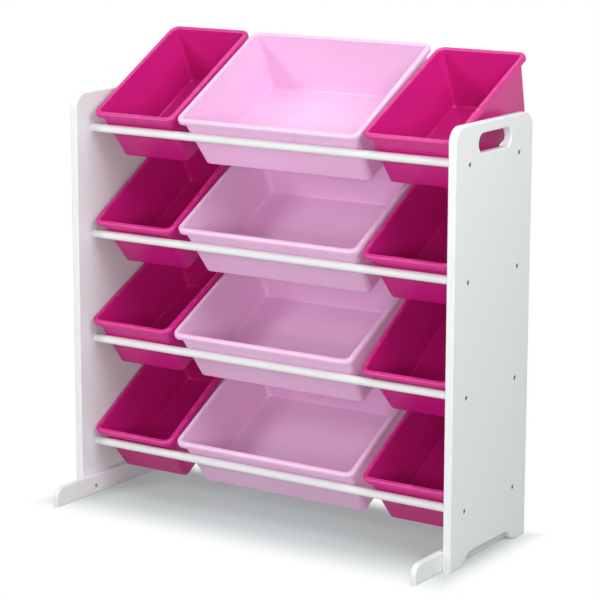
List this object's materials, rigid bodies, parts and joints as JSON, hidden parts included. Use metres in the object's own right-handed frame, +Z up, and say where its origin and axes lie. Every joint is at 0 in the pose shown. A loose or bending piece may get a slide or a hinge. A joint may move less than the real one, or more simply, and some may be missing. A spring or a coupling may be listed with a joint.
{
  "type": "toy shelf",
  "caption": "Toy shelf: two side panels on forward feet joined by round rails that carry rows of open plastic bins leaning to the front.",
  "frame": {"origin": "on the floor under the middle of the whole part's box", "axes": "+X to the right seen from the front, +Y to the back, +Z up"},
  "size_m": [0.852, 0.4224, 0.9081],
  "materials": {
    "white_board": "white paint, satin",
    "white_rail": "white paint, satin",
    "zinc_steel": "zinc plated, dull",
    "insert_brass": "turned, plain",
    "hot_pink_plastic": "smooth, semi-gloss",
    "light_pink_plastic": "smooth, semi-gloss"
  },
  "bodies": {
    "frame": {"left_side_panel": "white_board", "left_foot": "white_board", "left_panel_bolts": "zinc_steel", "left_rail_inserts": "insert_brass", "left_foot_screws": "zinc_steel", "right_side_panel": "white_board", "right_foot": "white_board", "right_panel_bolts": "zinc_steel", "right_rail_inserts": "insert_brass", "right_foot_screws": "zinc_steel", "front_rail_top": "white_rail", "back_rail_top": "white_rail", "front_rail_upper": "white_rail", "back_rail_upper": "white_rail", "front_rail_lower": "white_rail", "back_rail_lower": "white_rail", "front_rail_bottom": "white_rail", "back_rail_bottom": "white_rail"},
    "top_left_bin": {"bin_top_left": "hot_pink_plastic"},
    "top_middle_bin": {"bin_top_middle": "light_pink_plastic"},
    "top_right_bin": {"bin_top_right": "hot_pink_plastic"},
    "upper_left_bin": {"bin_upper_left": "hot_pink_plastic"},
    "upper_middle_bin": {"bin_upper_middle": "light_pink_plastic"},
    "upper_right_bin": {"bin_upper_right": "hot_pink_plastic"},
    "lower_left_bin": {"bin_lower_left": "hot_pink_plastic"},
    "lower_middle_bin": {"bin_lower_middle": "light_pink_plastic"},
    "lower_right_bin": {"bin_lower_right": "hot_pink_plastic"},
    "bottom_left_bin": {"bin_bottom_left": "hot_pink_plastic"},
    "bottom_middle_bin": {"bin_bottom_middle": "light_pink_plastic"},
    "bottom_right_bin": {"bin_bottom_right": "hot_pink_plastic"}
  },
  "joints": [
    {"name": "tip_top_left", "type": "hinge", "parent": "frame", "child": "top_left_bin", "pos_m": [-0.2998, 0.1118, 0.7298], "axis": [-1, 0, 0], "range_deg": [0, 29.3]},
    {"name": "tip_top_middle", "type": "hinge", "parent": "frame", "child": "top_middle_bin", "pos_m": [0.0048, 0.1118, 0.7298], "axis": [-1, 0, 0], "range_deg": [0, 28.7]},
    {"name": "tip_top_right", "type": "hinge", "parent": "frame", "child": "top_right_bin", "pos_m": [0.31, 0.1118, 0.7298], "axis": [-1, 0, 0], "range_deg": [0, 26.2]},
    {"name": "tip_upper_left", "type": "hinge", "parent": "frame", "child": "upper_left_bin", "pos_m": [-0.304, 0.1118, 0.5208], "axis": [-1, 0, 0], "range_deg": [0, 31]},
    {"name": "tip_upper_middle", "type": "hinge", "parent": "frame", "child": "upper_middle_bin", "pos_m": [0.0047, 0.1118, 0.5208], "axis": [-1, 0, 0], "range_deg": [0, 28.5]},
    {"name": "tip_upper_right", "type": "hinge", "parent": "frame", "child": "upper_right_bin", "pos_m": [0.3078, 0.1118, 0.5208], "axis": [-1, 0, 0], "range_deg": [0, 30.1]},
    {"name": "tip_lower_left", "type": "hinge", "parent": "frame", "child": "lower_left_bin", "pos_m": [-0.3109, 0.1118, 0.3118], "axis": [-1, 0, 0], "range_deg": [0, 26.3]},
    {"name": "tip_lower_middle", "type": "hinge", "parent": "frame", "child": "lower_middle_bin", "pos_m": [-0.0066, 0.1118, 0.3118], "axis": [-1, 0, 0], "range_deg": [0, 27]},
    {"name": "tip_lower_right", "type": "hinge", "parent": "frame", "child": "lower_right_bin", "pos_m": [0.305, 0.1118, 0.3118], "axis": [-1, 0, 0], "range_deg": [0, 33]},
    {"name": "tip_bottom_left", "type": "hinge", "parent": "frame", "child": "bottom_left_bin", "pos_m": [-0.3122, 0.1118, 0.1028], "axis": [-1, 0, 0], "range_deg": [0, 31.2]},
    {"name": "tip_bottom_middle", "type": "hinge", "parent": "frame", "child": "bottom_middle_bin", "pos_m": [-0.0022, 0.1118, 0.1028], "axis": [-1, 0, 0], "range_deg": [0, 28.8]},
    {"name": "tip_bottom_right", "type": "hinge", "parent": "frame", "child": "bottom_right_bin", "pos_m": [0.3123, 0.1118, 0.1028], "axis": [-1, 0, 0], "range_deg": [0, 28.9]}
  ]
}
